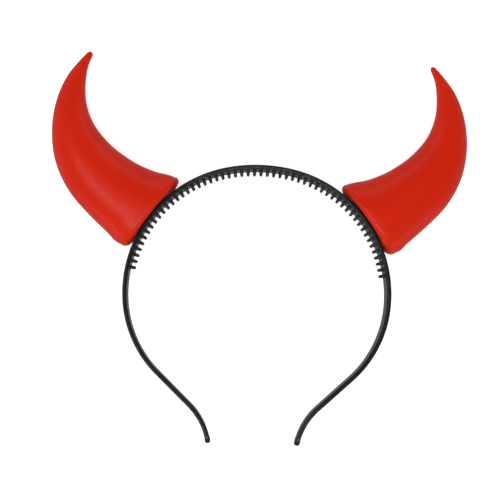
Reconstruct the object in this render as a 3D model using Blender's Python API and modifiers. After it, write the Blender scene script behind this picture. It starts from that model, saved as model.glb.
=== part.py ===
"""Devil horns headband: a comb band moulded in one piece, with two hollow horns fixed to its outer face.

The pieces are laid out in the band's own plane: X runs across the head, Y up to the crown and Z to the
front, with the middle of the band's width at Z = 0 and its crown at X = 0, Y = 0. The whole is then tilted
to the angle at which it lies on the undersides of its horns, and moved so that the origin is on the floor
under the middle of its bounding box. Lengths are in metres and angles in degrees.
"""

import math

import bmesh
import bpy
import numpy as np

# Band: a strip whose outer line is a chain of arcs from the crown down to each end
BAND_WIDTH = 0.0100
BAND_THICKNESS = 0.0022
BAND_EDGE_RADIUS = 0.0007
CROWN_RADIUS = 0.0762
CROWN_TURN = 12.1
SIDE_RADIUS = 0.0619
SIDE_TURN = 82.9
CHEEK_RADIUS = 0.0549
CHEEK_TURN = 42.1
LEG_STRAIGHT = 0.0217
END_RADIUS = 0.0306
END_TURN = 37.4
END_WIDTH = 0.0070
END_TAPER_LENGTH = 0.0300
END_ROUNDING = 0.0032
BAND_STATION_STEP = 0.0042

# Teeth: one row on the inner face, counted out from the crown along the band's outer line
TOOTH_COUNT = 55
TOOTH_PITCH = 0.00332
TOOTH_LENGTH = 0.0027
TOOTH_ROOT_THICKNESS = 0.0018
TOOTH_TIP_THICKNESS = 0.00145
TOOTH_ROOT_WIDTH = 0.0044
TOOTH_TIP_WIDTH = 0.0034
TOOTH_TIP_ROUNDING = 0.0005
TOOTH_SINK = 0.0006

# Horns: hollow shells, sized at the base, with the centre line's length from the base's lip to the tip. The
# lip stands round a shallow hollow in the base, and the middle of that hollow sits on the band
HORN_LENGTH = 0.1016
HORN_WIDTH = 0.0418
HORN_DEPTH = 0.0240
HORN_WALL = 0.0020
HORN_RIM_RADIUS = 0.0024
HORN_TIP_ROUNDING = 0.0016
HORN_LIP_HEIGHT = 0.0012
HORN_LIP_WIDTH = 0.0044
HORN_SEAT_DISTANCE = 0.0601
HORN_START_LEAN = 15.5
HORN_RING_POINTS = 24
HORN_BODY_STATIONS = 19
CAVITY_STATIONS = 12

# Each stretch of a horn's centre line: its share of the length, and how far it turns towards the crown
HORN_BENDS = (
    (0.30, 21.1),
    (0.30, 35.3),
    (0.40, 49.7),
)

# A horn's section along its length: place as a share of the length, width as a share of the base's
# width, and depth as a share of the base's depth
HORN_SECTIONS = (
    (0.00, 1.000, 1.000),
    (0.05, 1.000, 0.985),
    (0.12, 0.904, 0.945),
    (0.22, 0.817, 0.910),
    (0.35, 0.740, 0.872),
    (0.48, 0.630, 0.798),
    (0.60, 0.489, 0.685),
    (0.72, 0.353, 0.525),
    (0.84, 0.224, 0.360),
    (0.94, 0.103, 0.205),
    (1.00, 0.057, 0.112),
)

# The share of a horn's length where its base plane's direction ends, and where its sections stand square
# to the centre line
BASE_PARALLEL_SHARE = 0.03
SQUARE_SHARE = 0.30

# The share of a horn's length where its hollow ends
CAVITY_END_SHARE = 0.88

# Each horn: its name, its side, how far it leans towards the crown, and its width and length as a share of
# the named sizes
HORN_FITS = (
    ("left", -1, -1.5, 1.01),
    ("right", 1, -0.8, 0.99),
)

# Pegs: each stands on the band, goes through its horn's base and ends in a head inside the hollow
PEG_RADIUS = 0.0030
PEG_HEAD_RADIUS = 0.0060
PEG_HEAD_THICKNESS = 0.0020
PEG_SIDES = 20

# The gap that two pieces keep where they meet
FIT_GAP = 0.0003

# Colours as red, green and blue in linear light, and kilograms in a cubic metre
HORN_RED = (0.56, 0.021, 0.010)
BAND_BLACK = (0.018, 0.018, 0.019)
PEG_GREY = (0.30, 0.30, 0.31)
HORN_DENSITY = 1300.0
BAND_DENSITY = 1050.0

# The angles between which the tilt at rest is looked for
LEAST_TILT = 0.0
MOST_TILT = 25.0
TILT_STEP = 0.01


def clear_scene():
    for thing in list(bpy.data.objects):
        bpy.data.objects.remove(thing, do_unlink=True)
    for group in list(bpy.data.collections):
        bpy.data.collections.remove(group)


def new_collection(name):
    group = bpy.data.collections.new(name)
    bpy.context.scene.collection.children.link(group)
    return group


def plastic(name, colour, roughness):
    material = bpy.data.materials.new(name)
    material.use_nodes = True
    shader = material.node_tree.nodes["Principled BSDF"]
    shader.inputs["Base Color"].default_value = (*colour, 1.0)
    shader.inputs["Roughness"].default_value = roughness
    shader.inputs["Metallic"].default_value = 0.0
    material.diffuse_color = (*colour, 1.0)
    return material


def add_object(name, mesh, group, material=None):
    thing = bpy.data.objects.new(name, mesh)
    group.objects.link(thing)
    if material:
        mesh.materials.append(material)
    return thing


def add_loft(builder, rings):
    """Skins rings of points in order. The first and last are closed, a single point as a cone's tip."""
    rows = [[builder.verts.new(point) for point in ring] for ring in rings]
    for row, following in zip(rows, rows[1:]):
        count = max(len(row), len(following))
        for i in range(count):
            j = (i + 1) % count
            if len(row) == 1:
                builder.faces.new((row[0], following[j], following[i]))
            elif len(following) == 1:
                builder.faces.new((row[i], row[j], following[0]))
            else:
                builder.faces.new((row[i], row[j], following[j], following[i]))
    for row in (rows[0], rows[-1]):
        if len(row) > 2:
            builder.faces.new(row)


def loft_mesh(name, lofts):
    """One mesh of one or more closed lofts, triangulated, with its faces pointing out."""
    builder = bmesh.new()
    for rings in lofts:
        add_loft(builder, rings)
    bmesh.ops.recalc_face_normals(builder, faces=builder.faces)
    bmesh.ops.triangulate(builder, faces=builder.faces)
    mesh = bpy.data.meshes.new(name)
    builder.to_mesh(mesh)
    builder.free()
    mesh.shade_smooth()
    mesh.set_sharp_from_angle(angle=math.radians(35))
    return mesh


def walk(runs, distance, heading):
    """The point and heading after a distance along runs of (length, turn in radians), from the origin."""
    x = 0.0
    y = 0.0
    for place, (length, turn) in enumerate(runs):
        last = place == len(runs) - 1
        step = distance if last else min(distance, length)
        turned = turn * step / length
        chord = step if turned == 0.0 else step * math.sin(turned / 2) / (turned / 2)
        x += chord * math.cos(heading + turned / 2)
        y += chord * math.sin(heading + turned / 2)
        heading += turned
        distance -= step
        if distance <= 0.0:
            break
    return x, y, heading


def band_runs():
    """The stretches of the band's outer line from the crown to an end, each a length and a turn."""
    arcs = (
        (CROWN_RADIUS, -CROWN_TURN),
        (SIDE_RADIUS, -SIDE_TURN),
        (CHEEK_RADIUS, -CHEEK_TURN),
    )
    runs = [(radius * math.radians(abs(turn)), math.radians(turn)) for radius, turn in arcs]
    runs.append((LEG_STRAIGHT, 0.0))
    runs.append((END_RADIUS * math.radians(END_TURN), math.radians(END_TURN)))
    return runs


def band_half_length():
    return sum(length for length, turn in band_runs())


def band_point(distance):
    """The outer line's point, its tangent and its outward normal, at a distance from the crown."""
    x, y, heading = walk(band_runs(), abs(distance), 0.0)
    tangent = np.array((math.cos(heading), math.sin(heading), 0.0))
    normal = np.array((-math.sin(heading), math.cos(heading), 0.0))
    point = np.array((x, y, 0.0))
    if distance < 0.0:
        mirror = np.array((-1.0, 1.0, 1.0))
        return point * mirror, tangent * mirror, normal * mirror
    return point, tangent, normal


def rounded_end(distance_to_end, rounding):
    """The share of its full size that a rounded end has at a distance from its extreme."""
    if distance_to_end >= rounding:
        return 1.0
    return math.sqrt(max(0.0, 1.0 - (1.0 - distance_to_end / rounding) ** 2))


def band_ring(distance):
    """The band's section: a rectangle with rounded corners, drawn inwards from the outer line."""
    to_end = band_half_length() - abs(distance)
    taper = min(1.0, to_end / END_TAPER_LENGTH)
    width = END_WIDTH + (BAND_WIDTH - END_WIDTH) * math.sin(taper * math.pi / 2)
    half_width = width / 2 * rounded_end(to_end, END_ROUNDING)
    half_thickness = BAND_THICKNESS / 2 * rounded_end(to_end, BAND_THICKNESS / 2)
    radius = min(BAND_EDGE_RADIUS, half_width * 0.6, half_thickness * 0.6)
    point, tangent, normal = band_point(distance)
    middle = point - normal * BAND_THICKNESS / 2
    ring = []
    for corner, (side, front) in enumerate(((1, 1), (-1, 1), (-1, -1), (1, -1))):
        for step in range(3):
            angle = math.radians(90 * corner + 45 * step)
            across = side * (half_thickness - radius) + radius * math.cos(angle)
            forward = front * (half_width - radius) + radius * math.sin(angle)
            ring.append(middle + normal * across + np.array((0.0, 0.0, forward)))
    return ring


def band_distances():
    """Stations from end to end, evenly spaced, with closer ones round each end."""
    half = band_half_length()
    steps = math.ceil((half - END_ROUNDING) / BAND_STATION_STEP)
    side = [(half - END_ROUNDING) * step / steps for step in range(1, steps + 1)]
    side += [half - END_ROUNDING * (1.0 - math.sin(math.radians(turn))) for turn in (20, 40, 60, 75, 86)]
    return [-distance for distance in reversed(side)] + [0.0] + side


def tooth_rings(distance):
    """One tooth, from inside the band to its rounded tip, as four eight-sided rings."""
    point, tangent, normal = band_point(distance)
    sections = (
        (-TOOTH_SINK, TOOTH_ROOT_THICKNESS, TOOTH_ROOT_WIDTH),
        (0.0, TOOTH_ROOT_THICKNESS, TOOTH_ROOT_WIDTH),
        (TOOTH_LENGTH - TOOTH_TIP_ROUNDING, TOOTH_TIP_THICKNESS, TOOTH_TIP_WIDTH),
        (TOOTH_LENGTH, TOOTH_TIP_THICKNESS - TOOTH_TIP_ROUNDING, TOOTH_TIP_WIDTH - TOOTH_TIP_ROUNDING),
    )
    rings = []
    for reach, thickness, width in sections:
        middle = point - normal * (BAND_THICKNESS + reach)
        cut = thickness * 0.3
        ring = []
        for side, front in ((1, 1), (-1, 1), (-1, -1), (1, -1)):
            beside = (side * thickness / 2, front * (width / 2 - cut))
            ahead = (side * (thickness / 2 - cut), front * width / 2)
            pair = (beside, ahead) if side == front else (ahead, beside)
            ring += [middle + tangent * along + np.array((0.0, 0.0, forward)) for along, forward in pair]
        rings.append(ring)
    return rings


def make_comb_band(group, guides, material):
    strip = loft_mesh("comb_band", [map(band_ring, band_distances())])
    band = add_object("comb_band", strip, group, material)
    first = -(TOOTH_COUNT - 1) / 2
    row = [tooth_rings((first + tooth) * TOOTH_PITCH) for tooth in range(TOOTH_COUNT)]
    teeth = add_object("teeth", loft_mesh("teeth", row), guides)
    teeth.hide_render = True
    teeth.display_type = "WIRE"
    teeth.parent = band
    union = band.modifiers.new("teeth", "BOOLEAN")
    union.operation = "UNION"
    union.solver = "EXACT"
    union.object = teeth
    return band


def smooth_row(table, place):
    """The columns of a table of shares at a place, on a smooth curve through its rows."""
    rows = np.array(table)
    places = rows[:, 0]
    values = rows[:, 1:]
    slopes = np.gradient(values, places, axis=0)
    i = int(np.clip(np.searchsorted(places, place) - 1, 0, len(places) - 2))
    span = places[i + 1] - places[i]
    t = (place - places[i]) / span
    rise = values[i + 1] - values[i]
    bend_in = slopes[i] * span - rise
    bend_out = rise - slopes[i + 1] * span
    return values[i] + t * rise + t * (1 - t) * ((1 - t) * bend_in + t * bend_out)


def horn_section(share, size):
    """The centre, the direction across and the half width and half depth of a horn's section.

    The horn is drawn from its seat on the band, with X away from the band and Y towards the crown. Its centre
    line starts in the plane of the base's lip, below the seat.
    """
    length = HORN_LENGTH * size
    runs = [(part * length, math.radians(turn)) for part, turn in HORN_BENDS]
    x, y, heading = walk(runs, share * length, math.radians(-HORN_START_LEAN))
    squaring = (share - BASE_PARALLEL_SHARE) / (SQUARE_SHARE - BASE_PARALLEL_SHARE)
    leaning = HORN_START_LEAN * (1.0 - min(1.0, max(0.0, squaring))) ** 2
    if share <= BASE_PARALLEL_SHARE:
        heading = math.radians(-HORN_START_LEAN)
    across = heading + math.radians(leaning + 90)
    width_share, depth_share = smooth_row(HORN_SECTIONS, share)
    half_width = HORN_WIDTH / 2 * size * width_share
    half_depth = HORN_DEPTH / 2 * depth_share
    return (x - HORN_LIP_HEIGHT, y), across, half_width, half_depth


def oval(centre, across, half_width, half_depth):
    """A ring of points round an oval that stands on the plane of the centre line."""
    ring = []
    for i in range(HORN_RING_POINTS):
        angle = 2 * math.pi * i / HORN_RING_POINTS
        reach = half_width * math.cos(angle)
        x = centre[0] + reach * math.cos(across)
        y = centre[1] + reach * math.sin(across)
        ring.append((x, y, half_depth * math.sin(angle)))
    return ring


def horn_outside(size):
    """Rings from the blunt tip down the outside and round the rim to the bottom of the lip."""
    length = HORN_LENGTH * size
    rim_turns = (0, 22.5, 45, 67.5, 90)
    rim_shares = [HORN_RIM_RADIUS / length * (1 - math.cos(math.radians(turn))) for turn in rim_turns]
    tip_start = 1 - HORN_TIP_ROUNDING / length
    body_shares = np.linspace(rim_shares[-1], tip_start, HORN_BODY_STATIONS)[1:]
    tip_shares = [tip_start + (1 - tip_start) * math.sin(math.radians(turn)) for turn in (30, 60, 80)]
    rings = []
    for share in [*rim_shares, *body_shares, *tip_shares]:
        centre, across, half_width, half_depth = horn_section(share, size)
        cut_in = HORN_RIM_RADIUS * (1 - rounded_end(share * length, HORN_RIM_RADIUS))
        closing = rounded_end((1 - share) * length, HORN_TIP_ROUNDING)
        rings.append(oval(centre, across, (half_width - cut_in) * closing, (half_depth - cut_in) * closing))
    tip, *rest = horn_section(1.0, size)
    rings.append([(*tip, 0.0)])
    return rings[::-1]


def base_rings(size):
    """The edge of the seat inside the lip, then the outer and inner edges of the round hole for the peg."""
    centre, across, half_width, half_depth = horn_section(0.0, size)
    radius = PEG_RADIUS + FIT_GAP
    seat = oval((0.0, 0.0), math.pi / 2, half_width - HORN_LIP_WIDTH, half_depth - HORN_LIP_WIDTH)
    return [seat] + [oval((height, 0.0), math.pi / 2, radius, radius) for height in (0.0, HORN_WALL)]


def horn_inside(size):
    """Rings from the base's inner face up the hollow to its closed end."""
    length = HORN_LENGTH * size
    floor_share = (HORN_LIP_HEIGHT + HORN_WALL) / math.cos(math.radians(HORN_START_LEAN)) / length
    rings = []
    for share in np.linspace(floor_share, CAVITY_END_SHARE, CAVITY_STATIONS):
        centre, across, half_width, half_depth = horn_section(share, size)
        rings.append(oval(centre, across, half_width - HORN_WALL, half_depth - HORN_WALL))
    end, *rest = horn_section(CAVITY_END_SHARE + HORN_WALL / length, size)
    rings.append([(*end, 0.0)])
    return rings


def seat_frame(side, lean):
    """Where a horn's base lies: its centre, the way out of the band and the way towards the crown."""
    point, tangent, normal = band_point(HORN_SEAT_DISTANCE)
    facing = math.atan2(normal[1], normal[0]) + math.radians(lean)
    mirror = np.array((side, 1.0, 1.0))
    centre = (point + normal * FIT_GAP) * mirror
    outward = np.array((math.cos(facing), math.sin(facing), 0.0)) * mirror
    upward = np.array((-math.sin(facing), math.cos(facing), 0.0)) * mirror
    return centre, outward, upward


def make_horn(name, side, lean, size, group, material):
    centre, outward, upward = seat_frame(side, lean)
    forward = np.array((0.0, 0.0, 1.0))
    rings = horn_outside(size) + base_rings(size) + horn_inside(size)
    placed = [[centre + outward * x + upward * y + forward * z for x, y, z in ring] for ring in rings]
    return add_object("horn_" + name, loft_mesh("horn_" + name, [placed]), group, material)


def make_peg(name, side, lean, group, material):
    """A turned peg: its profile runs down from the head's top to the foot."""
    head_bottom = HORN_WALL + FIT_GAP
    head_top = head_bottom + PEG_HEAD_THICKNESS
    profile = (
        (0.0, head_top),
        (PEG_HEAD_RADIUS, head_top),
        (PEG_HEAD_RADIUS, head_bottom),
        (PEG_RADIUS, head_bottom),
        (PEG_RADIUS, 0.0),
        (0.0, 0.0),
    )
    mesh = bpy.data.meshes.new("horn_peg_" + name)
    edges = [(i, i + 1) for i in range(len(profile) - 1)]
    mesh.from_pydata([(radius, 0.0, height) for radius, height in profile], edges, [])
    peg = add_object("horn_peg_" + name, mesh, group, material)
    centre, outward, upward = seat_frame(side, lean)
    peg.location = centre
    peg.rotation_euler = (0.0, math.pi / 2, math.atan2(outward[1], outward[0]))
    screw = peg.modifiers.new("turned", "SCREW")
    screw.axis = "Z"
    screw.steps = PEG_SIDES
    screw.render_steps = PEG_SIDES
    screw.use_merge_vertices = True
    screw.merge_threshold = 0.0001
    return peg


def solid_points(thing):
    """The corner points of an object's finished mesh, and of each of its triangles."""
    mesh = thing.evaluated_get(bpy.context.evaluated_depsgraph_get()).to_mesh()
    mesh.calc_loop_triangles()
    points = np.array([thing.matrix_world @ vertex.co for vertex in mesh.vertices])
    corners = np.array([triangle.vertices[:] for triangle in mesh.loop_triangles])
    return points, points[corners]


def mass_centre(pieces):
    """The centre of mass of (triangles, density) pairs, from the tetrahedra under each triangle."""
    total = 0.0
    moment = np.zeros(3)
    for triangles, density in pieces:
        first, second, third = triangles[:, 0], triangles[:, 1], triangles[:, 2]
        masses = density * np.einsum("ij,ij->i", first, np.cross(second, third)) / 6
        total += masses.sum()
        moment += (masses[:, None] * (first + second + third) / 4).sum(axis=0)
    return moment / total


def rest_tilt(points, balance):
    """The tilt, crown down, at which the centre of mass lies lowest over the floor."""
    tilts = np.radians(np.arange(LEAST_TILT, MOST_TILT, TILT_STEP))
    heights = []
    for tilt in tilts:
        up = np.array((0.0, -math.sin(tilt), math.cos(tilt)))
        heights.append(balance @ up - (points @ up).min())
    return float(tilts[int(np.argmin(heights))])


def lay_on_floor(pieces):
    """Parents the pieces to one empty that holds the tilt at rest and the place on the floor."""
    bpy.context.view_layer.update()
    solids = [(*solid_points(thing), density) for thing, density in pieces]
    points = np.concatenate([corners for corners, triangles, density in solids])
    balance = mass_centre([(triangles, density) for corners, triangles, density in solids])
    tilt = rest_tilt(points, balance)
    turn = np.array((
        (1.0, 0.0, 0.0),
        (0.0, math.cos(tilt), math.sin(tilt)),
        (0.0, -math.sin(tilt), math.cos(tilt)),
    ))
    turned = points @ turn.T
    low = turned.min(axis=0)
    high = turned.max(axis=0)
    frame = bpy.data.objects.new("headband_frame", None)
    bpy.context.scene.collection.objects.link(frame)
    frame.rotation_euler = (-tilt, 0.0, 0.0)
    frame.location = (-(low[0] + high[0]) / 2, -(low[1] + high[1]) / 2, -low[2])
    for thing, density in pieces:
        thing.parent = frame
    bpy.context.view_layer.update()


def main():
    clear_scene()
    group = new_collection("devil_horns_headband")
    guides = new_collection("guides")
    black = plastic("black_plastic", BAND_BLACK, 0.32)
    red = plastic("red_vinyl", HORN_RED, 0.38)
    grey = plastic("grey_plastic", PEG_GREY, 0.5)
    pieces = [(make_comb_band(group, guides, black), BAND_DENSITY)]
    for name, side, lean, size in HORN_FITS:
        pieces.append((make_horn(name, side, lean, size, group, red), HORN_DENSITY))
        pieces.append((make_peg(name, side, lean, group, grey), BAND_DENSITY))
    lay_on_floor(pieces)


main()
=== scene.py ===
"""How the devil horns headband looks: its finished surfaces, its materials, the light and the camera.

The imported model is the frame. The band and the two horns are made again here, finer and with the detail
that the photo shows, and each stands for its solid. The pegs inside the horns keep their solids. As in the
part's source, the pieces are laid out in the band's own plane, with X across the head, Y up to the crown
and Z to the front, and are then tilted to the angle at which the headband lies. Lengths are in metres,
angles in degrees.
"""

import math

import bmesh
import bpy
import numpy as np
from mathutils import Matrix, Vector


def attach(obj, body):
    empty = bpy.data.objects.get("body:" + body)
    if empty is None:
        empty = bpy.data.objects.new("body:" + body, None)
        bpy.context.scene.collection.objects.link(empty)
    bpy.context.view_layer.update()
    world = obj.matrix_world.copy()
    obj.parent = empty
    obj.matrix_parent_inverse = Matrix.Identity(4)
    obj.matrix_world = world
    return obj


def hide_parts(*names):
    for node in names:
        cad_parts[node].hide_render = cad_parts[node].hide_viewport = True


# How the headband lies: its tilt, and where the crown's outer point is
REST_TILT = 4.47
CROWN_PLACE = (0.000756, 0.039628, 0.009979)

# Band
BAND_WIDTH = 0.0100
BAND_THICKNESS = 0.0022
BAND_EDGE_RADIUS = 0.0007
CROWN_RADIUS = 0.0762
CROWN_TURN = 12.1
SIDE_RADIUS = 0.0619
SIDE_TURN = 82.9
CHEEK_RADIUS = 0.0549
CHEEK_TURN = 42.1
LEG_STRAIGHT = 0.0217
END_RADIUS = 0.0306
END_TURN = 37.4
END_WIDTH = 0.0070
END_TAPER_LENGTH = 0.0300
END_ROUNDING = 0.0032

# How much thicker each face gets towards the very end, and over what length
END_SWELL = 0.00025
END_SWELL_LENGTH = 0.0040

# How far apart the band's sections are, and those of the stretch round the gate mark
BAND_STATION_STEP = 0.0007
GATE_STATION_STEP = 0.0001
GATE_STATIONS_EACH_SIDE = 14

# Where the points of the band's front edge lie across it, as shares of its flat half
EDGE_SHARES = (0.86, 0.72, 0.54, 0.36, 0.18, 0.0, -0.18, -0.36, -0.54, -0.72, -0.86)

# The fine ridge that the mould leaves along the middle of the band's front and back edges
RIDGE_HALF_WIDTH = 0.00030
RIDGE_HEIGHT = 0.00012
RIDGE_FADE_LENGTH = 0.0040

# The mark that the mould's gate leaves on the front edge, a little to one side of the crown
GATE_SHIFT = 0.0004
GATE_RADIUS = 0.0006
GATE_DEPTH = 0.00022

# Teeth
TOOTH_COUNT = 55
TOOTH_PITCH = 0.00332
TOOTH_RING_POINTS = 20

# How round a tooth's section is along the band and across it: 1 is an oval, 0 a rectangle
TOOTH_ROUNDNESS_ALONG = 0.72
TOOTH_ROUNDNESS_ACROSS = 0.55

# A tooth's section along its reach from the band's inner face: reach, thickness along the band, width
TOOTH_SECTIONS = (
    (-0.00030, 0.00225, 0.00490),
    (0.00000, 0.00208, 0.00475),
    (0.00012, 0.00190, 0.00456),
    (0.00035, 0.00178, 0.00440),
    (0.00120, 0.00166, 0.00405),
    (0.00200, 0.00152, 0.00368),
    (0.00240, 0.00136, 0.00346),
    (0.00258, 0.00106, 0.00316),
    (0.00267, 0.00066, 0.00280),
    (0.00270, 0.00026, 0.00250),
)

# Horns
HORN_LENGTH = 0.1016
HORN_WIDTH = 0.0418
HORN_DEPTH = 0.0240
HORN_WALL = 0.0020
HORN_RIM_RADIUS = 0.0024
HORN_TIP_ROUNDING = 0.0016
HORN_LIP_HEIGHT = 0.0012
HORN_LIP_WIDTH = 0.0044
HORN_SEAT_DISTANCE = 0.0601
HORN_START_LEAN = 15.5
HORN_RING_POINTS = 96
HORN_BODY_STATIONS = 110
CAVITY_STATIONS = 30

# Share of the horn's length, and how far the horn turns over it
HORN_BENDS = (
    (0.30, 21.1),
    (0.30, 35.3),
    (0.40, 49.7),
)

# Place as a share of the length, then width and depth as shares of the base's
HORN_SECTIONS = (
    (0.00, 1.000, 1.000),
    (0.05, 1.000, 0.985),
    (0.12, 0.904, 0.945),
    (0.22, 0.817, 0.910),
    (0.35, 0.740, 0.872),
    (0.48, 0.630, 0.798),
    (0.60, 0.489, 0.685),
    (0.72, 0.353, 0.525),
    (0.84, 0.224, 0.360),
    (0.94, 0.103, 0.205),
    (1.00, 0.057, 0.112),
)
BASE_PARALLEL_SHARE = 0.03
SQUARE_SHARE = 0.30
CAVITY_END_SHARE = 0.88

# Name, side, lean towards the crown, size, share of the length at which the tip ends
HORN_FITS = (
    ("left", -1, -1.5, 1.01, 0.991),
    ("right", 1, -0.8, 0.99, 1.0),
)
PEG_RADIUS = 0.0030
FIT_GAP = 0.0003

# The horn's faces up to this height over the seat, turned at least so far to the band, have little sheen:
# painted shade, a duller copy of the vinyl where the band shades the base's underside
PAINTED_SHADE_HEIGHT = 0.0003
PAINTED_SHADE_FACING = 0.85
VINYL_GLOSS = 0.30
PAINTED_SHADE_GLOSS = 0.05

# How far the finished surfaces lie inside the solids, and how much further a horn's front and back do
INSET = 0.00004
DEPTH_INSET = 0.00006

# Edges that turn by more than this stay sharp
SHARP_ANGLE = 50

# Camera, in the band's own plane
CAMERA_PLACE = (-0.01494, -0.08696, 0.42000)
CAMERA_RIGHT = (0.99899, 0.03353, 0.02988)
CAMERA_UP = (-0.03651, 0.99373, 0.10571)
CAMERA_LENS = 62.28
CAMERA_SENSOR_WIDTH = 36.0
CAMERA_SHIFT = (-0.001, 0.001)

FLOOR_REACH = 3.0

# Name, place, width, height, power in watts, whether reflections show it
LIGHTS = (
    ("overhead", (0.0, 0.0, 1.6), 0.90, 0.90, 10.8, False),
    ("left_strip", (-0.58, -0.10, 1.08), 0.90, 0.16, 3.0, True),
    ("high_front_strip", (0.0, -0.55, 1.05), 0.90, 0.12, 5.8, True),
    ("back_strip", (0.0, 1.30, 0.66), 2.40, 0.30, 3.4, True),
    ("front_strip_left", (-1.00, -0.85, 0.33), 0.60, 0.20, 0.9, True),
    ("front_strip_right", (0.95, -0.80, 0.34), 0.60, 0.20, 0.8, True),
)

# Height in the surroundings, from 0 straight down to 1 straight up, and the grey there
WORLD_STOPS = (
    (0.00, 0.40),
    (0.48, 0.40),
    (0.52, 0.40),
    (0.62, 0.45),
    (0.72, 0.22),
    (1.00, 0.04),
)


# Shapes

def walk(runs, distance, heading):
    """The point and heading after a distance along runs of (length, turn in radians), from the origin."""
    x = 0.0
    y = 0.0
    for place, (length, turn) in enumerate(runs):
        last = place == len(runs) - 1
        step = distance if last else min(distance, length)
        turned = turn * step / length
        chord = step if turned == 0.0 else step * math.sin(turned / 2) / (turned / 2)
        x += chord * math.cos(heading + turned / 2)
        y += chord * math.sin(heading + turned / 2)
        heading += turned
        distance -= step
        if distance <= 0.0:
            break
    return x, y, heading


BAND_RUNS = (
    (CROWN_RADIUS * math.radians(CROWN_TURN), -math.radians(CROWN_TURN)),
    (SIDE_RADIUS * math.radians(SIDE_TURN), -math.radians(SIDE_TURN)),
    (CHEEK_RADIUS * math.radians(CHEEK_TURN), -math.radians(CHEEK_TURN)),
    (LEG_STRAIGHT, 0.0),
    (END_RADIUS * math.radians(END_TURN), math.radians(END_TURN)),
)
BAND_HALF_LENGTH = sum(length for length, turn in BAND_RUNS)


def band_point(distance):
    """The outer line's point, its tangent and its outward normal, at a distance from the crown."""
    x, y, heading = walk(BAND_RUNS, abs(distance), 0.0)
    tangent = np.array((math.cos(heading), math.sin(heading), 0.0))
    normal = np.array((-math.sin(heading), math.cos(heading), 0.0))
    point = np.array((x, y, 0.0))
    if distance < 0.0:
        mirror = np.array((-1.0, 1.0, 1.0))
        return point * mirror, tangent * mirror, normal * mirror
    return point, tangent, normal


def rounded_end(distance_to_end, rounding):
    """The share of its full size that a rounded end has at a distance from its extreme."""
    if distance_to_end >= rounding:
        return 1.0
    return math.sqrt(max(0.0, 1.0 - (1.0 - distance_to_end / rounding) ** 2))


def edge_profile(half_thickness, half_width, radius, ridge):
    """The band's section as (across, forward) points: round corners, and a fine ridge along each edge."""
    flat = half_thickness - radius
    width = min(RIDGE_HALF_WIDTH, flat * 0.8)
    front = []
    for share in EDGE_SHARES:
        across = flat * share
        rise = ridge * max(0.0, 1.0 - (across / width) ** 2) if width > 0 else 0.0
        front.append((across, half_width + rise))
    points = []
    for corner, (side, ahead) in enumerate(((1, 1), (-1, 1), (-1, -1), (1, -1))):
        for step in range(7):
            angle = math.radians(90 * corner + 15 * step)
            points.append((side * flat + radius * math.cos(angle),
                           ahead * (half_width - radius) + radius * math.sin(angle)))
        if corner == 0:
            points += front
        if corner == 1:
            points += [(-half_thickness, (half_width - radius) * share) for share in (0.5, 0.0, -0.5)]
        if corner == 2:
            points += [(across, -forward) for across, forward in reversed(front)]
        if corner == 3:
            points += [(half_thickness, (half_width - radius) * share) for share in (-0.5, 0.0, 0.5)]
    return points


def band_ring(distance):
    """The band's section at a distance from the crown, with its taper, rounded end, ridge and gate mark."""
    to_end = BAND_HALF_LENGTH - INSET - abs(distance)
    taper = min(1.0, to_end / END_TAPER_LENGTH)
    width = END_WIDTH + (BAND_WIDTH - END_WIDTH) * math.sin(taper * math.pi / 2)
    half_width = (width / 2 - INSET) * rounded_end(to_end, END_ROUNDING)
    nearness = max(0.0, 1.0 - to_end / END_SWELL_LENGTH)
    swell = END_SWELL * nearness * (2.0 - nearness)
    half_thickness = (BAND_THICKNESS / 2 - INSET + swell) * rounded_end(to_end, BAND_THICKNESS / 2)
    radius = min(BAND_EDGE_RADIUS, half_width * 0.6, half_thickness * 0.6)
    ridge = RIDGE_HEIGHT * min(1.0, max(0.0, to_end - RIDGE_FADE_LENGTH) / RIDGE_FADE_LENGTH)
    point, tangent, normal = band_point(distance)
    middle = point - normal * BAND_THICKNESS / 2
    ring = []
    for across, forward in edge_profile(half_thickness, half_width - ridge, radius, ridge):
        place = middle + normal * across + np.array((0.0, 0.0, forward))
        away = math.hypot(distance - GATE_SHIFT, across)
        if forward > half_width - radius and away < GATE_RADIUS:
            place[2] -= GATE_DEPTH * (1.0 - (away / GATE_RADIUS) ** 2)
        ring.append(place)
    return ring


def band_distances():
    """Where the band's sections are: close together at its ends and round the gate mark."""
    half = BAND_HALF_LENGTH - INSET
    steps = math.ceil((half - END_ROUNDING) / BAND_STATION_STEP)
    side = [(half - END_ROUNDING) * step / steps for step in range(1, steps + 1)]
    turns = (8, 16, 24, 32, 40, 48, 56, 64, 70, 75, 80, 84, 87)
    side += [half - END_ROUNDING * (1.0 - math.sin(math.radians(turn))) for turn in turns]
    near_gate = range(-GATE_STATIONS_EACH_SIDE, GATE_STATIONS_EACH_SIDE + 1)
    crown = [GATE_STATION_STEP * step for step in near_gate]
    side = [distance for distance in side if distance > crown[-1] + GATE_STATION_STEP / 2]
    return [-distance for distance in reversed(side)] + crown + side


def tooth_rings(distance):
    """The rings of the tooth at a distance from the crown, from inside the band out to its tip."""
    point, tangent, normal = band_point(distance)
    rings = []
    for reach, thickness, width in TOOTH_SECTIONS:
        middle = point - normal * (BAND_THICKNESS - INSET + reach)
        ring = []
        for i in range(TOOTH_RING_POINTS):
            angle = 2 * math.pi * i / TOOTH_RING_POINTS
            c = math.cos(angle)
            s = math.sin(angle)
            along = thickness / 2 * math.copysign(abs(c) ** TOOTH_ROUNDNESS_ALONG, c)
            forward = width / 2 * math.copysign(abs(s) ** TOOTH_ROUNDNESS_ACROSS, s)
            ring.append(middle + tangent * along + np.array((0.0, 0.0, forward)))
        rings.append(ring)
    return rings


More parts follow.
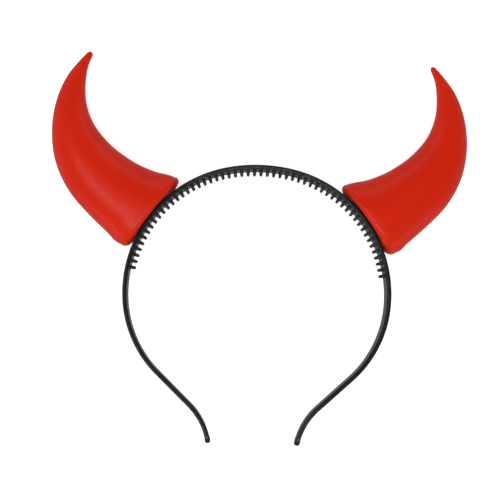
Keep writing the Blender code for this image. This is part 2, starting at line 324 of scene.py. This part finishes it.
def smooth_row(table, place):
    """A table's row at a place between its rows, on a smooth curve through them."""
    rows = np.array(table)
    places = rows[:, 0]
    values = rows[:, 1:]
    slopes = np.gradient(values, places, axis=0)
    i = int(np.clip(np.searchsorted(places, place) - 1, 0, len(places) - 2))
    span = places[i + 1] - places[i]
    t = (place - places[i]) / span
    rise = values[i + 1] - values[i]
    bend_in = slopes[i] * span - rise
    bend_out = rise - slopes[i + 1] * span
    return values[i] + t * rise + t * (1 - t) * ((1 - t) * bend_in + t * bend_out)


def horn_section(share, size):
    """Centre, angle across, half width and half depth at a share of the horn's length."""
    length = HORN_LENGTH * size
    runs = [(part * length, math.radians(turn)) for part, turn in HORN_BENDS]
    x, y, heading = walk(runs, share * length, math.radians(-HORN_START_LEAN))
    squaring = (share - BASE_PARALLEL_SHARE) / (SQUARE_SHARE - BASE_PARALLEL_SHARE)
    leaning = HORN_START_LEAN * (1.0 - min(1.0, max(0.0, squaring))) ** 2
    if share <= BASE_PARALLEL_SHARE:
        heading = math.radians(-HORN_START_LEAN)
    across = heading + math.radians(leaning + 90)
    width_share, depth_share = smooth_row(HORN_SECTIONS, share)
    half_width = HORN_WIDTH / 2 * size * width_share
    half_depth = HORN_DEPTH / 2 * depth_share
    return (x - HORN_LIP_HEIGHT, y), across, half_width, half_depth


def oval(centre, across, half_width, half_depth):
    """The points of an oval that lies across the horn."""
    ring = []
    for i in range(HORN_RING_POINTS):
        angle = 2 * math.pi * i / HORN_RING_POINTS
        reach = half_width * math.cos(angle)
        x = centre[0] + reach * math.cos(across)
        y = centre[1] + reach * math.sin(across)
        ring.append((x, y, half_depth * math.sin(angle)))
    return ring


def horn_outside(size, end_share):
    """Rings from the bottom of the lip round the rim and up the outside to the blunt tip."""
    length = HORN_LENGTH * size
    rim_shares = [HORN_RIM_RADIUS / length * (1 - math.cos(math.radians(turn))) for turn in range(0, 91, 9)]
    tip_start = end_share - HORN_TIP_ROUNDING / length
    tip_reach = end_share - tip_start
    body_shares = np.linspace(rim_shares[-1], tip_start, HORN_BODY_STATIONS)[1:]
    tip_shares = [tip_start + tip_reach * math.sin(math.radians(turn)) for turn in range(10, 90, 8)]
    rings = []
    for share in [*rim_shares, *body_shares, *tip_shares]:
        centre, across, half_width, half_depth = horn_section(share, size)
        cut_in = HORN_RIM_RADIUS * (1 - rounded_end(share * length, HORN_RIM_RADIUS)) + INSET
        closing = rounded_end((end_share - share) * length, HORN_TIP_ROUNDING)
        half_width = (half_width - cut_in) * closing
        half_depth = (half_depth - cut_in - DEPTH_INSET) * closing
        rings.append(oval(centre, across, half_width, half_depth))
    tip = horn_section(end_share, size)[0]
    rings.append([(tip[0], tip[1], 0.0)])
    return rings


def lip_inside(size):
    """Rings from the edge of the seat out to the bottom of the lip, on a soft curve."""
    half_width, half_depth = horn_section(0.0, size)[2:]
    rings = []
    for share in np.linspace(0.0, 1.0, 9)[:-1]:
        cut_in = HORN_LIP_WIDTH + (HORN_RIM_RADIUS + INSET - HORN_LIP_WIDTH) * share
        height = -HORN_LIP_HEIGHT * (3 * share ** 2 - 2 * share ** 3)
        rings.append(oval((height, 0.0), math.pi / 2, half_width - cut_in, half_depth - cut_in))
    return rings


def horn_inside(size):
    """Rings from the base's inner face up the hollow to its closed end."""
    length = HORN_LENGTH * size
    floor_share = (HORN_LIP_HEIGHT + HORN_WALL) / math.cos(math.radians(HORN_START_LEAN)) / length
    rings = []
    for share in np.linspace(floor_share, CAVITY_END_SHARE, CAVITY_STATIONS):
        centre, across, half_width, half_depth = horn_section(share, size)
        rings.append(oval(centre, across, half_width - HORN_WALL, half_depth - HORN_WALL))
    end = horn_section(CAVITY_END_SHARE + HORN_WALL / length, size)[0]
    rings.append([(end[0], end[1], 0.0)])
    return rings


def paint_shade_under_lip(piece, material, centre, outward):
    """Give the faces that look at the band, under the lip and on the seat, a material of their own: painted
    shade, a copy of the vinyl with little sheen where the band shades them.
    """
    piece.data.materials.append(material)
    seat, ahead = to_world([centre, centre + outward])
    axis = ahead - seat
    for polygon in piece.data.polygons:
        height = (np.array(polygon.center) - seat) @ axis
        if height < PAINTED_SHADE_HEIGHT and np.array(polygon.normal) @ axis < -PAINTED_SHADE_FACING:
            polygon.material_index = 1


def seat_frame(side, lean):
    """Where a horn sits on the band: its centre, the way out of the band and the way to the crown."""
    point, tangent, normal = band_point(HORN_SEAT_DISTANCE)
    facing = math.atan2(normal[1], normal[0]) + math.radians(lean)
    mirror = np.array((side, 1.0, 1.0))
    centre = (point + normal * FIT_GAP) * mirror
    outward = np.array((math.cos(facing), math.sin(facing), 0.0)) * mirror
    upward = np.array((-math.sin(facing), math.cos(facing), 0.0)) * mirror
    return centre, outward, upward


def to_world(points):
    """Points of the band's own plane as they lie on the floor."""
    tilt = math.radians(REST_TILT)
    turn = np.array((
        (1.0, 0.0, 0.0),
        (0.0, math.cos(tilt), math.sin(tilt)),
        (0.0, -math.sin(tilt), math.cos(tilt)),
    ))
    return np.asarray(points) @ turn.T + np.array(CROWN_PLACE)


def mesh_of_rings(name, lofts):
    """One smooth mesh of lofts, each a list of rings; the first and the last ring are closed."""
    points = []
    faces = []
    for rings in lofts:
        starts = []
        for ring in rings:
            starts.append(len(points))
            points.extend(ring)
        for (start, ring), (following, next_ring) in zip(zip(starts, rings), zip(starts[1:], rings[1:])):
            count = max(len(ring), len(next_ring))
            for i in range(count):
                j = (i + 1) % count
                if len(next_ring) == 1:
                    faces.append((start + i, start + j, following))
                elif len(ring) == 1:
                    faces.append((start, following + j, following + i))
                else:
                    faces.append((start + i, start + j, following + j, following + i))
        for start, ring in ((starts[0], rings[0]), (starts[-1], rings[-1])):
            if len(ring) > 2:
                order = range(len(ring)) if start != starts[0] else reversed(range(len(ring)))
                faces.append(tuple(start + i for i in order))
    mesh = bpy.data.meshes.new(name)
    mesh.from_pydata([tuple(point) for point in to_world(points)], [], faces)
    mesh.validate()
    return mesh


def add_piece(name, mesh, material, node):
    """The mesh as a finished piece that rides on the body and stands for its solid."""
    builder = bmesh.new()
    builder.from_mesh(mesh)
    bmesh.ops.recalc_face_normals(builder, faces=builder.faces)
    builder.to_mesh(mesh)
    builder.free()
    mesh.shade_smooth()
    mesh.set_sharp_from_angle(angle=math.radians(SHARP_ANGLE))
    piece = bpy.data.objects.new(name, mesh)
    bpy.context.scene.collection.objects.link(piece)
    mesh.materials.append(material)
    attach(piece, "root")
    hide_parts(node)
    return piece


# Materials

class Nodes:
    """Short ways to add and join the nodes of one material."""

    def __init__(self, name):
        self.material = bpy.data.materials.new(name)
        self.material.use_nodes = True
        self.tree = self.material.node_tree
        self.shader = self.tree.nodes["Principled BSDF"]
        self.place = self.tree.nodes.new("ShaderNodeTexCoord").outputs["Object"]

    def link(self, start, end):
        self.tree.links.new(start, end)

    def noise(self, scale, detail=3.0, roughness=0.5, distortion=0.0):
        node = self.tree.nodes.new("ShaderNodeTexNoise")
        node.inputs["Scale"].default_value = scale
        node.inputs["Detail"].default_value = detail
        node.inputs["Roughness"].default_value = roughness
        node.inputs["Distortion"].default_value = distortion
        self.link(self.place, node.inputs["Vector"])
        return node.outputs["Fac"]

    def ramp(self, value, stops):
        node = self.tree.nodes.new("ShaderNodeValToRGB")
        ramp = node.color_ramp
        while len(ramp.elements) < len(stops):
            ramp.elements.new(0.5)
        for element, (position, colour) in zip(ramp.elements, stops):
            element.position = position
            element.color = (*colour, 1.0)
        self.link(value, node.inputs["Fac"])
        return node.outputs["Color"]

    def span(self, value, low, high, start=0.3, end=0.7):
        node = self.tree.nodes.new("ShaderNodeMapRange")
        node.inputs["From Min"].default_value = start
        node.inputs["From Max"].default_value = end
        node.inputs["To Min"].default_value = low
        node.inputs["To Max"].default_value = high
        self.link(value, node.inputs["Value"])
        return node.outputs["Result"]

    def bump(self, height, distance, strength, normal=None):
        node = self.tree.nodes.new("ShaderNodeBump")
        node.inputs["Distance"].default_value = distance
        node.inputs["Strength"].default_value = strength
        self.link(height, node.inputs["Height"])
        if normal:
            self.link(normal, node.inputs["Normal"])
        return node.outputs["Normal"]


def red_vinyl(name, gloss):
    """Soft moulded vinyl: an even strong red, a faint mottle, a fine skin and as much sheen as gloss says."""
    nodes = Nodes(name)
    mottle = nodes.noise(38.0, 3.0)
    nodes.link(nodes.ramp(mottle, ((0.30, (0.520, 0.0130, 0.0024)), (0.70, (0.560, 0.0155, 0.0030)))),
               nodes.shader.inputs["Base Color"])
    nodes.link(nodes.span(nodes.noise(160.0, 4.0), 0.28, 0.35), nodes.shader.inputs["Roughness"])
    nodes.shader.inputs["IOR"].default_value = 1.36
    nodes.shader.inputs["Specular IOR Level"].default_value = gloss
    wave = nodes.bump(nodes.noise(42.0, 1.0), 0.0012, 0.10)
    skin = nodes.bump(nodes.noise(2600.0, 2.0), 0.00004, 0.25, wave)
    nodes.link(skin, nodes.shader.inputs["Normal"])
    return nodes.material


def black_plastic():
    """Injection-moulded black plastic: smooth, with faint flow marks and small scuffs in its gloss."""
    nodes = Nodes("black_plastic")
    mottle = nodes.noise(70.0, 4.0)
    nodes.link(nodes.ramp(mottle, ((0.3, (0.0040, 0.0043, 0.0045)), (0.7, (0.0065, 0.0069, 0.0072)))),
               nodes.shader.inputs["Base Color"])
    nodes.link(nodes.span(nodes.noise(420.0, 5.0, 0.6), 0.28, 0.38), nodes.shader.inputs["Roughness"])
    nodes.shader.inputs["Specular IOR Level"].default_value = 0.38
    flow = nodes.bump(nodes.noise(120.0, 2.0), 0.0003, 0.15)
    skin = nodes.bump(nodes.noise(3800.0, 2.0), 0.00003, 0.25, flow)
    nodes.link(skin, nodes.shader.inputs["Normal"])
    return nodes.material


def grey_plastic():
    """Plain matt plastic for the hidden pegs."""
    nodes = Nodes("grey_plastic")
    nodes.link(nodes.ramp(nodes.noise(300.0), ((0.3, (0.27, 0.27, 0.28)), (0.7, (0.33, 0.33, 0.34)))),
               nodes.shader.inputs["Base Color"])
    nodes.link(nodes.span(nodes.noise(900.0), 0.46, 0.58), nodes.shader.inputs["Roughness"])
    nodes.link(nodes.bump(nodes.noise(2500.0), 0.00003, 0.3), nodes.shader.inputs["Normal"])
    return nodes.material


def floor_paper():
    """White paper that also glows a little, so that it stays white round the headband."""
    nodes = Nodes("floor_paper")
    nodes.link(nodes.ramp(nodes.noise(5.0), ((0.3, (0.50, 0.50, 0.50)), (0.7, (0.51, 0.51, 0.51)))),
               nodes.shader.inputs["Base Color"])
    nodes.shader.inputs["Roughness"].default_value = 0.9
    nodes.shader.inputs["Specular IOR Level"].default_value = 0.2
    nodes.shader.inputs["Emission Color"].default_value = (1.0, 1.0, 1.0, 1.0)
    nodes.shader.inputs["Emission Strength"].default_value = 0.70
    return nodes.material


# Stage

def add_floor():
    """A white sheet that reflections don't show: there, the lower half of the world stands for it."""
    mesh = bpy.data.meshes.new("floor")
    corners = [(x * FLOOR_REACH, y * FLOOR_REACH, 0.0) for x, y in ((-1, -1), (1, -1), (1, 1), (-1, 1))]
    mesh.from_pydata(corners, [], [(0, 1, 2, 3)])
    mesh.materials.append(floor_paper())
    floor = bpy.data.objects.new("floor", mesh)
    bpy.context.scene.collection.objects.link(floor)
    floor.visible_glossy = False


def add_light(name, place, width, height, power, reflected):
    """A rectangle of light that faces the middle of the floor."""
    data = bpy.data.lights.new(name, "AREA")
    data.shape = "RECTANGLE"
    data.size = width
    data.size_y = height
    data.energy = power
    light = bpy.data.objects.new(name, data)
    bpy.context.scene.collection.objects.link(light)
    light.location = place
    light.rotation_euler = (Vector() - Vector(place)).to_track_quat("-Z", "Y").to_euler()
    light.visible_glossy = reflected


def add_world():
    """Grey studio walls, darker overhead where the camera hangs."""
    world = bpy.data.worlds.new("studio")
    bpy.context.scene.world = world
    world.use_nodes = True
    tree = world.node_tree
    background = tree.nodes["Background"]
    place = tree.nodes.new("ShaderNodeTexCoord")
    split = tree.nodes.new("ShaderNodeSeparateXYZ")
    tree.links.new(place.outputs["Generated"], split.inputs["Vector"])
    ramp = tree.nodes.new("ShaderNodeValToRGB")
    while len(ramp.color_ramp.elements) < len(WORLD_STOPS):
        ramp.color_ramp.elements.new(0.5)
    for element, (position, value) in zip(ramp.color_ramp.elements, WORLD_STOPS):
        element.position = position
        element.color = (value, value, value, 1.0)
    level = tree.nodes.new("ShaderNodeMapRange")
    level.inputs["From Min"].default_value = -1.0
    tree.links.new(split.outputs["Z"], level.inputs["Value"])
    tree.links.new(level.outputs["Result"], ramp.inputs["Fac"])
    tree.links.new(ramp.outputs["Color"], background.inputs["Color"])
    background.inputs["Strength"].default_value = 1.0


def add_camera():
    """The photo's camera, turned with the headband."""
    turn = Matrix.Rotation(-math.radians(REST_TILT), 3, "X")
    right = (turn @ Vector(CAMERA_RIGHT)).normalized()
    up = turn @ Vector(CAMERA_UP)
    up = (up - right * up.dot(right)).normalized()
    back = right.cross(up)
    data = bpy.data.cameras.new("camera")
    data.lens = CAMERA_LENS
    data.sensor_width = CAMERA_SENSOR_WIDTH
    data.shift_x, data.shift_y = CAMERA_SHIFT
    data.clip_start = 0.01
    data.clip_end = 20.0
    camera = bpy.data.objects.new("camera", data)
    bpy.context.scene.collection.objects.link(camera)
    axes = Matrix((right, up, back)).transposed().to_4x4()
    place = turn @ Vector(CAMERA_PLACE) + Vector(CROWN_PLACE)
    camera.matrix_world = Matrix.Translation(place) @ axes
    bpy.context.scene.camera = camera


# The headband

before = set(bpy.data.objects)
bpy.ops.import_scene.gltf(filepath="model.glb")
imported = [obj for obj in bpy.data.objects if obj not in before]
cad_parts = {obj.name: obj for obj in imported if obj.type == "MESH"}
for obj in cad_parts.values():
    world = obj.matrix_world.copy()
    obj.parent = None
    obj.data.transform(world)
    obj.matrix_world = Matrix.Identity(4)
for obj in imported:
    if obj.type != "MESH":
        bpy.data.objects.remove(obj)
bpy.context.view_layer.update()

red = red_vinyl("red_vinyl", VINYL_GLOSS)
# A second copy of the vinyl with little sheen: painted shade for the underside of each horn's base
painted_shade_red = red_vinyl("painted_shade_red_vinyl", PAINTED_SHADE_GLOSS)
black = black_plastic()
grey = grey_plastic()

band_lofts = [[band_ring(distance) for distance in band_distances()]]
first_tooth = -(TOOTH_COUNT - 1) / 2
band_lofts += [tooth_rings((first_tooth + tooth) * TOOTH_PITCH) for tooth in range(TOOTH_COUNT)]
band_mesh = mesh_of_rings("comb_band_finish", band_lofts)
add_piece("comb_band_finish", band_mesh, black, "comb_band")

forward = np.array((0.0, 0.0, 1.0))
hole = PEG_RADIUS + FIT_GAP
for horn_name, side, lean, size, end_share in HORN_FITS:
    centre, outward, upward = seat_frame(side, lean)
    loft = horn_inside(size)[::-1]
    loft += [oval((HORN_WALL, 0.0), math.pi / 2, hole, hole)]
    loft += [oval((0.0, 0.0), math.pi / 2, hole, hole)]
    loft += lip_inside(size)
    loft += horn_outside(size, end_share)
    placed = [[centre + outward * x + upward * y + forward * z for x, y, z in ring] for ring in loft]
    name = "horn_" + horn_name
    horn_mesh = mesh_of_rings(name + "_finish", [placed])
    horn = add_piece(name + "_finish", horn_mesh, red, name)
    # Painted shade: the faces under the lip get the copy of the vinyl with little sheen
    paint_shade_under_lip(horn, painted_shade_red, centre, outward)
    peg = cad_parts["horn_peg_" + horn_name]
    for slot in peg.material_slots:
        slot.material = grey

# Light and camera

add_world()
add_floor()
for light_row in LIGHTS:
    add_light(*light_row)
add_camera()

bpy.context.scene.view_settings.view_transform = "Standard"
